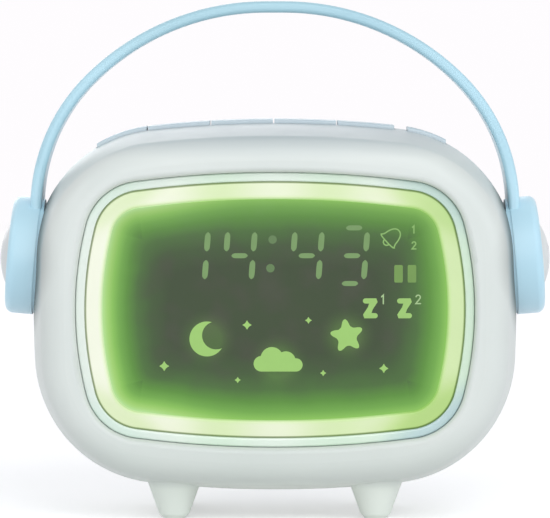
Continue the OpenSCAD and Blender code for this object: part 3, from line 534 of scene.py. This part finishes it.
# Trim: clear white at the left, with the green of the ring's glow painted on it towards the right and a painted
# pale blue reflection in the corners
trimSettings = {
    "stops": [(0.0, (230, 236, 230)), (0.3, (228, 240, 228)), (0.6, (216, 236, 216)), (1.0, (200, 226, 197))],
    "margin": 6,
    # Painted pale blue reflection in the corners
    "corner": (188, 212, 214),
    "roughness": 0.2,
    "coat": 0.35,
    "coatRoughness": 0.08,
}


def trimFinish(name, s):
    material, tree, shader, place = newMaterial(name)
    middle, _ = windowPlace(tree, place)
    surface = surfaceOf(tree, place, 0.25, 30, 6)
    # The glow's green on the trim is painted light from the ring, and its pale blue corners a painted reflection
    colour, corner = glowColour(tree, middle, s["margin"], s["stops"])
    feed(tree, shader, {
        "Base Color": mixColour(tree, corner, colour, linear(*s["corner"])),
        "Roughness": calc(tree, "MULTIPLY_ADD", surface["Scuff"], 0.05, s["roughness"]),
        "Normal": bump(tree, surface["Height"], 0.03, 0.025 * mm),
        "Coat Weight": s["coat"],
        "Coat Roughness": s["coatRoughness"]})
    return material


finishes["trim_plastic"] = trimFinish("ClearTrim", trimSettings)


windowSettings = {
    # Glow by depth from the edge in mm
    "stops": [(0.0, (186, 226, 158)), (0.7, (172, 217, 133)), (1.4, (162, 209, 117)), (2.6, (140, 194, 98)),
              (4.1, (118, 171, 85)), (6.2, (99, 147, 73)), (9.0, (85, 117, 71)), (12.5, (77, 97, 68)),
              (17.0, (73, 85, 66))],
    "reach": 18.0,
    "unevenness": 0.16,
    "dimmerSide": 2.4,      # mm by which the glow is weaker away from the left end
    "dimmerFrom": (-36, -6),
    "dimmerTop": 0.87,
    "warmth": 0.35,
    "warm": (0.042, 0.036, 0.026, 1),
    "mirror": 0.05,         # what the gloss adds by itself
    "body": (0.006, 0.008, 0.005, 1),
    "signBody": (0.01, 0.014, 0.008, 1),
    "roughness": 0.16,
    "halo": (46, 74, 22),
}
haloPlaces = []             # filled by the lit pictures: middle, radius, reach


# A colour less what the gloss will add to it
def lessMirror(colour, least):
    return tuple(max(v - windowSettings["mirror"], least) for v in linear(*colour)[:3]) + (1,)


def windowFinish(name, s):
    material, tree, shader, place = newMaterial(name)
    middle, depth = windowPlace(tree, place)
    parts = separate(tree, middle)
    share = calc(tree, "DIVIDE", depth, s["reach"] * mm)
    surface = surfaceOf(tree, place, 0.4, 7, 14)
    uneven = times(tree, calc(tree, "SUBTRACT", surface["Tone"], 0.5), s["unevenness"])
    low, high = s["dimmerFrom"]
    weaker = spread(tree, parts["X"], low * mm, high * mm, 0.0, s["dimmerSide"] / s["reach"], "SMOOTHSTEP")
    shifted = calc(tree, "ADD", share, times(tree, uneven, share))
    shifted = calc(tree, "MULTIPLY_ADD", weaker, spread(tree, share, 0.0, 0.8, 1.0, 0.0), shifted)
    colour = ramp(tree, shifted, [(d / s["reach"], lessMirror(c, 0.004)) for d, c in s["stops"]])
    dim = spread(tree, parts["Z"], 0.0, halfHeight, 1.0, s["dimmerTop"])
    colour = tinted(tree, colour, grey(tree, dim))
    warm = spread(tree, surface["Tone"], 0.45, 0.7, 0.0, s["warmth"])
    colour = mixColour(tree, times(tree, warm, spread(tree, share, 0.3, 0.8)), colour, s["warm"])
    for centre, radius, reach in haloPlaces:
        halo = useGroup(tree, haloGroup, {"Position": place, "Centre": centre, "Radius": radius, "Reach": reach})
        colour = mixColour(tree, halo["Mask"], colour, linear(*s["halo"]), "ADD")
    feed(tree, shader, {
        "Base Color": s["body"],
        "Roughness": calc(tree, "MULTIPLY_ADD", surface["Scuff"], 0.05, s["roughness"]),
        "Emission Color": colour,
        "Emission Strength": 1.0})
    return material


# A sign on the display: its light, a little uneven like the sheet behind it
def signFinish(name, colour, uneven=0.18):
    material, tree, shader, place = newMaterial(name)
    surface = surfaceOf(tree, place, 0.4, 2.5, 5)
    level = calc(tree, "MULTIPLY_ADD", surface["Tone"], uneven, 1 - uneven / 2)
    feed(tree, shader, {
        "Base Color": windowSettings["signBody"],
        "Roughness": windowSettings["roughness"],
        "Emission Color": tinted(tree, grey(tree, level), lessMirror(colour, 0.01)),
        "Emission Strength": 1.0})
    return material


# Outlines are lists of (right, up) in mm from the middle of the window
def moved(points, right, up, turn=0.0, size=1.0):
    c, s = math.cos(math.radians(turn)) * size, math.sin(math.radians(turn)) * size
    return [(right + x * c - y * s, up + x * s + y * c) for x, y in points]


def softened(points, rounds, share=0.25):
    for _ in range(rounds):
        cut = []
        for a, b in zip(points, points[1:] + points[:1]):
            cut.append((a[0] + (b[0] - a[0]) * share, a[1] + (b[1] - a[1]) * share))
            cut.append((b[0] - (b[0] - a[0]) * share, b[1] - (b[1] - a[1]) * share))
        points = cut
    return points


def arc(cx, cy, r, start, end, count):
    angles = [math.radians(start + (end - start) * k / count) for k in range(count + 1)]
    return [(cx + r * math.cos(a), cy + r * math.sin(a)) for a in angles]


# Points beside a line, at a distance to its left, with mitred corners cut short where they turn sharply
def beside(points, distance, closed, limit=0.3):
    count, result = len(points), []
    for i, p in enumerate(points):
        before = points[(i - 1) % count] if closed or i else None
        after = points[(i + 1) % count] if closed or i < count - 1 else None
        normals = []
        for a, b in ((before, p), (p, after)):
            if a and b:
                d = Vector((b[0] - a[0], b[1] - a[1])).normalized()
                normals.append(Vector((-d.y, d.x)))
        n = sum(normals, Vector((0, 0))).normalized()
        reach = distance / max(n.dot(normals[0]), limit)
        result.append((p[0] + n.x * reach, p[1] + n.y * reach))
    return result


# Outline of an open stroke with round ends
def stroke(points, width):
    left = beside(points, width / 2, False)
    right = beside(points, -width / 2, False)

    def heading(a, b):
        return math.degrees(math.atan2(b[1] - a[1], b[0] - a[0]))

    end = arc(*points[-1], width / 2, heading(*points[-2:]) + 90, heading(*points[-2:]) - 90, 8)
    start = arc(*points[0], width / 2, heading(*points[:2]) - 90, heading(*points[:2]) - 270, 8)
    return left[:-1] + end + right[-2:0:-1] + start[:-1]


# A closed slab from outlines, and from pairs of loops for closed strokes
def makeSigns(name, outlines, material, loops=(), rise=0.05, sink=0.12):
    mesh = bmesh.new()

    def layers(points):
        return [[mesh.verts.new((x * mm, windowFront + y * mm, bodyMiddle + z * mm)) for x, z in points]
                for y in (-rise, sink)]

    for points in outlines:
        front, back = layers(points)
        mesh.faces.new(front)
        mesh.faces.new(back[::-1])
        for i in range(len(points)):
            j = (i + 1) % len(points)
            mesh.faces.new((front[i], front[j], back[j], back[i]))
    for outer, inner in loops:
        a, b = layers(outer), layers(inner)
        for i in range(len(outer)):
            j = (i + 1) % len(outer)
            for near, far in ((a[0], b[0]), (b[0], b[1]), (b[1], a[1]), (a[1], a[0])):
                mesh.faces.new((near[i], near[j], far[j], far[i]))
    bmesh.ops.recalc_face_normals(mesh, faces=mesh.faces)
    data = bpy.data.meshes.new(name)
    mesh.to_mesh(data)
    mesh.free()
    piece = bpy.data.objects.new(name, data)
    data.materials.append(material)
    scene.collection.objects.link(piece)
    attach(piece, "case")


digitSettings = {
    "colour": (124, 156, 105),
    "centres": [-21.1, -9.1, 8.15, 19.8],
    "up": 14.45,
    "halfWide": 3.47,
    "halfHigh": 7.16,
    "slope": 4.3,           # degrees
    # Length and width of a standing and of a lying stroke, and how much of the width its ends taper over
    "upright": (5.15, 1.5),
    "level": (4.4, 1.3),
    "taper": 0.5,
    # Which strokes are lit: top, middle, bottom, upper left, upper right, lower left, lower right
    "lit": {"1": "0000101", "4": "0101101", "3": "1110101"},
    "shown": "1443",
    "colon": [(-0.62, 18.6), (-1.18, 11.23)],
    "colonRadius": 1.08,
    "colonColour": (104, 131, 91),
}


def addDigits(s):
    lean = math.tan(math.radians(s["slope"]))

    def segment(right, up, upright):
        length, width = s["upright"] if upright else s["level"]
        taper = width * s["taper"]
        shape = [(-length / 2, 0), (-length / 2 + taper, width / 2), (length / 2 - taper, width / 2),
                 (length / 2, 0), (length / 2 - taper, -width / 2), (-length / 2 + taper, -width / 2)]
        shape = moved(softened(softened(shape, 1, 0.16), 1), 0, up, 90 if upright else 0)
        return [(right + x + y * lean, s["up"] + y) for x, y in shape]

    # Share of the half width, share of the half height, and whether the stroke stands
    places = [(0, 1, 0), (0, 0, 0), (0, -1, 0), (-1, 0.5, 1), (1, 0.5, 1), (-1, -0.5, 1), (1, -0.5, 1)]
    outlines = [
        segment(x + side * s["halfWide"], up * s["halfHigh"], upright)
        for x, digit in zip(s["centres"], s["shown"])
        for (side, up, upright), lit in zip(places, s["lit"][digit]) if lit == "1"]
    makeSigns("clockDigits", outlines, signFinish("DigitGlow", s["colour"]))
    dots = [arc(x, y, s["colonRadius"], 0, 350, 35) for x, y in s["colon"]]
    makeSigns("clockColon", dots, signFinish("ColonGlow", s["colonColour"]))


addDigits(digitSettings)
print("digits made")


signSettings = {
    "bellShape": [(-2.45, -1.7), (-1.75, -0.9), (-1.6, 0.4), (-1.1, 1.6), (-0.4, 2.1), (0.4, 2.1), (1.1, 1.6),
                  (1.6, 0.4), (1.75, -0.9), (2.45, -1.7)],
    "clapper": (0, -1.75, 0.75),        # right, up, radius
    "bell": (30.1, 19.3),
    "bellTurn": -47,
    "bellSize": 1.12,
    "line": 0.33,
    # Number, right, up, size
    "alarmNumbers": [("1", 35.6, 21.2, 1.0), ("2", 35.7, 17.1, 1.0)],
    "sleepNumbers": [("1", 27.75, 3.2, 1.2), ("2", 36.8, 3.2, 1.2)],
    "bars": [(31.75, 9.8), (35.2, 9.8)],
    "barSize": (2.2, 4.5),
    "sleep": [(24.5, 0.9), (33.3, 0.9)],
    "sleepSize": (2.5, 3.8, 1.34),      # width and height of the letter's line, width of its stroke
    "thinColour": (142, 184, 112),
    "barColour": (121, 156, 90),
    "numberColour": (168, 198, 146),
    "sleepColour": (158, 200, 118),
}


def addSigns(s):
    bell = moved(softened(s["bellShape"], 2), *s["bell"], s["bellTurn"], s["bellSize"])
    clapper = moved(arc(*s["clapper"], 190, 350, 8), *s["bell"], s["bellTurn"], s["bellSize"])
    loops = [(beside(bell, s["line"] / 2, True), beside(bell, -s["line"] / 2, True))]
    outlines = [stroke(clapper, s["line"])]
    glyphs = {
        "1": [(-0.3, 0.55), (0.08, 0.92), (0.08, -0.92)],
        "2": arc(0, 0.45, 0.46, 165, -35, 10) + [(-0.48, -0.9), (0.5, -0.9)],
    }

    def numbers(places):
        return [stroke(moved(glyphs[glyph], right, up, 0, size), s["line"]) for glyph, right, up, size in places]

    makeSigns("alarmSigns", outlines + numbers(s["alarmNumbers"]), signFinish("ThinGlow", s["thinColour"]), loops)
    makeSigns("sleepNumbers", numbers(s["sleepNumbers"]), signFinish("NumberGlow", s["numberColour"]))
    w, h = (v / 2 for v in s["barSize"])
    bars = [moved(softened([(-w, -h), (w, -h), (w, h), (-w, h)], 1, 0.08), *p) for p in s["bars"]]
    makeSigns("chargeBars", bars, signFinish("BarGlow", s["barColour"]))
    w, h, width = s["sleepSize"][0] / 2, s["sleepSize"][1] / 2, s["sleepSize"][2]
    letter = stroke([(-w, h), (w, h), (-w, -h), (w, -h)], width)
    letters = [moved(softened(letter, 1), *p) for p in s["sleep"]]
    makeSigns("sleepSigns", letters, signFinish("SleepGlow", s["sleepColour"]))


addSigns(signSettings)
print("small signs made")


pictureSettings = {
    "colour": (160, 204, 118),
    "moon": (-17.5, -7.0, 4.5),         # right, up, radius
    "moonBite": (0.52, 0.2, 0.8),       # shift right and up, radius, as shares of the moon's
    "star": (18.5, -6.2, 4.3),
    "starTurn": 8,
    "starWaves": (0.76, 0.2, 0.04),     # share of the radius, and of its first and second wave
    # Right, up and radius of each puff
    "cloud": [(-4.3, -0.2, 2.0), (-1.6, 1.2, 2.9), (2.0, 0.5, 2.5), (4.6, -0.5, 1.7)],
    "cloudAt": (0.8, -13.2),
    "sparkles": [(-7.2, -3.4, 1.5), (8.6, -2.2, 1.1), (-28.5, -14.0, 1.6), (-9.6, -17.6, 1.0),
                 (28.0, -14.6, 1.5), (12.4, -15.8, 1.0)],
    "sparkleHollow": 0.62,              # 1 would be a plain diamond
    "haloShare": 0.8,
    "haloReach": 4.5,
    "cloudHalo": 4.6,
}


def addPicture(s):
    outlines = []
    right, up, r = s["moon"]
    bx, by, br = (v * r for v in s["moonBite"])
    away = math.hypot(bx, by)
    toBite = math.atan2(by, bx)
    half = math.acos((r * r + away * away - br * br) / (2 * r * away))
    inner = math.acos((br * br + away * away - r * r) / (2 * br * away))
    outer = arc(0, 0, r, math.degrees(toBite + half), math.degrees(toBite - half) + 360, 60)
    bite = arc(bx, by, br, math.degrees(toBite - math.pi + inner) + 360, math.degrees(toBite + math.pi - inner), 40)
    outlines.append(moved(outer + bite[1:-1], right, up))
    right, up, r = s["star"]
    base, wave, ripple = s["starWaves"]
    star = []
    for k in range(120):
        a = math.radians(k * 3)
        reach = r * (base + wave * math.cos(5 * a) + ripple * math.cos(10 * a))
        star.append((reach * math.sin(a), reach * math.cos(a)))
    outlines.append(moved(star, right, up, s["starTurn"]))
    low, first, last = min(y - q for _, y, q in s["cloud"]), s["cloud"][0], s["cloud"][-1]
    start, end = first[0] - first[2], last[0] + last[2]
    rim = [start + (end - start) * (1 - math.cos(math.pi * k / 90)) / 2 for k in range(91)]

    def height(x):
        return max(y + math.sqrt(q * q - (x - c) ** 2) for c, y, q in s["cloud"] if q * q >= (x - c) ** 2)

    def depth(x):
        for (c, y, q), outside in ((first, x < first[0]), (last, x > last[0])):
            if outside:
                return y - math.sqrt(max(q * q - (x - c) ** 2, 0))
        share = max(x - first[0], 0.0) / (last[0] - first[0])
        return low + (last[1] - last[2] - low) * share

    inside = rim[1:-1]
    cloud = [(x, height(x)) for x in inside] + [(x, depth(x)) for x in reversed(inside)]
    outlines.append(moved(cloud, *s["cloudAt"]))
    hollow = s["sparkleHollow"]
    for right, up, r in s["sparkles"]:
        sparkle = []
        for k in range(48):
            a = math.radians(k * 7.5 + 3.75)
            reach = r / (abs(math.cos(a)) ** hollow + abs(math.sin(a)) ** hollow) ** (1 / hollow)
            sparkle.append((reach * math.cos(a), reach * math.sin(a)))
        outlines.append(moved(softened(sparkle, 1), right, up))
    makeSigns("nightPicture", outlines, signFinish("PictureGlow", s["colour"], 0.08))
    for right, up, r in (s["moon"], s["star"], (*s["cloudAt"], s["cloudHalo"])):
        centre = (right * mm, windowFront, bodyMiddle + up * mm)
        haloPlaces.append((centre, r * s["haloShare"] * mm, s["haloReach"] * mm))


addPicture(pictureSettings)
print("night picture made")

finishes["glow_diffuser"] = ringFinish("GlowRing", ringSettings)
finishes["tinted_window"] = windowFinish("TintedWindow", windowSettings)


slotOf = {part["node"]: part["material_slot"] for part in frame["record"]["subparts"]}
for name, obj in nodes.items():
    obj.data.materials.clear()
    obj.data.materials.append(finishes[slotOf[name]])
print("finishes assigned")


floorSettings = {
    "half": 3.0,
    "squares": 8,
    "drop": 0.02 * mm,
    "colour": (0.92, 0.91264, 0.92, 1),
    "glow": 0.365,
    "glowColour": (1, 0.985, 1, 1),
    "fade": (0.5, 1.6),     # metres from the middle where the floor starts to clear and is gone
}


def addFloor(s):
    data = bpy.data.meshes.new("table")
    count = s["squares"]
    mesh = bmesh.new()
    steps = [s["half"] * (2 * i / count - 1) for i in range(count + 1)]
    rows = [[mesh.verts.new((x, y, 0)) for x in steps] for y in steps]
    for j in range(count):
        for i in range(count):
            mesh.faces.new((rows[j][i], rows[j][i + 1], rows[j + 1][i + 1], rows[j + 1][i]))
    mesh.to_mesh(data)
    mesh.free()
    table = bpy.data.objects.new("table", data)
    table.location = (0, 0, -s["drop"])
    material = bpy.data.materials.new("WhiteSweep")
    material.use_nodes = True
    tree = material.node_tree
    tree.nodes.clear()
    place = add(tree, "ShaderNodeTexCoord").outputs["Object"]
    away = add(tree, "ShaderNodeVectorMath", {0: place}, operation="LENGTH").outputs["Value"]
    fade = spread(tree, away, *s["fade"])
    # Part of its white is only for the eye, as on a lit sweep, so the shadow under the body stays pale
    matte = add(tree, "ShaderNodeBsdfDiffuse", {"Color": s["colour"]})
    rays = add(tree, "ShaderNodeLightPath").outputs
    seen = times(tree, s["glow"], calc(tree, "MAXIMUM", rays["Is Camera Ray"], rays["Is Glossy Ray"]))
    own = add(tree, "ShaderNodeEmission", {"Color": s["glowColour"], "Strength": seen})
    matte = add(tree, "ShaderNodeAddShader", {0: matte.outputs[0], 1: own.outputs[0]})
    clear = add(tree, "ShaderNodeBsdfTransparent")
    blend = add(tree, "ShaderNodeMixShader", {0: fade, 1: matte.outputs[0], 2: clear.outputs[0]})
    add(tree, "ShaderNodeOutputMaterial", {"Surface": blend.outputs[0]})
    data.materials.append(material)
    scene.collection.objects.link(table)


addFloor(floorSettings)

worldSettings = {
    "seen": (0.995, 0.975, 0.995, 1),
    "light": (0.93, 0.97, 1.0, 1),
    "level": 0.52,
}


# White to the eye and in reflections, softer as a light
def addWorld(s):
    world = bpy.data.worlds.new("studio")
    world.use_nodes = True
    tree = world.node_tree
    tree.nodes.clear()
    rays = add(tree, "ShaderNodeLightPath").outputs
    direct = calc(tree, "MAXIMUM", rays["Is Camera Ray"],
                  calc(tree, "MAXIMUM", rays["Is Glossy Ray"], rays["Is Transmission Ray"]))
    soft = add(tree, "ShaderNodeBackground", {"Color": s["light"], "Strength": s["level"]})
    seen = add(tree, "ShaderNodeBackground", {"Color": s["seen"], "Strength": 1.0})
    blend = add(tree, "ShaderNodeMixShader", {0: direct, 1: soft.outputs[0], 2: seen.outputs[0]})
    add(tree, "ShaderNodeOutputWorld", {"Surface": blend.outputs[0]})
    scene.world = world


addWorld(worldSettings)

# Place, what it points at, size and power of each lamp
lampSettings = {
    "keyPanel": dict(place=(0.35, -1.1, 0.95), aim=(0, 0, 0.05), size=0.9, power=5.6, colour=(1, 1, 1)),
    "frontPanel": dict(place=(-0.1, -1.5, 0.32), aim=(0, 0, 0.07), size=0.42, power=2.75, colour=(1, 1, 0.99)),
    "leftPanel": dict(place=(-0.9, -0.6, 0.7), aim=(0, 0, 0.06), size=0.6, power=1.7, colour=(1, 1, 0.98)),
    "backPanel": dict(place=(-0.3, 1.3, 0.5), aim=(0, 0, 0.06), size=0.8, power=3.0, colour=(1, 1, 1)),
    "rightPanel": dict(place=(0.95, -0.6, 0.4), aim=(0, 0, 0.06), size=0.6, power=1.9, colour=(0.97, 0.99, 1)),
}


def addLamps(settings):
    for name, s in settings.items():
        data = bpy.data.lights.new(name, "AREA")
        data.shape = "SQUARE"
        data.size = s["size"]
        data.energy = s["power"]
        data.color = s["colour"]
        lamp = bpy.data.objects.new(name, data)
        lamp.location = s["place"]
        lamp.rotation_euler = (Vector(s["aim"]) - Vector(s["place"])).to_track_quat("-Z", "Y").to_euler()
        scene.collection.objects.link(lamp)


addLamps(lampSettings)
print("floor, world and lamps placed")
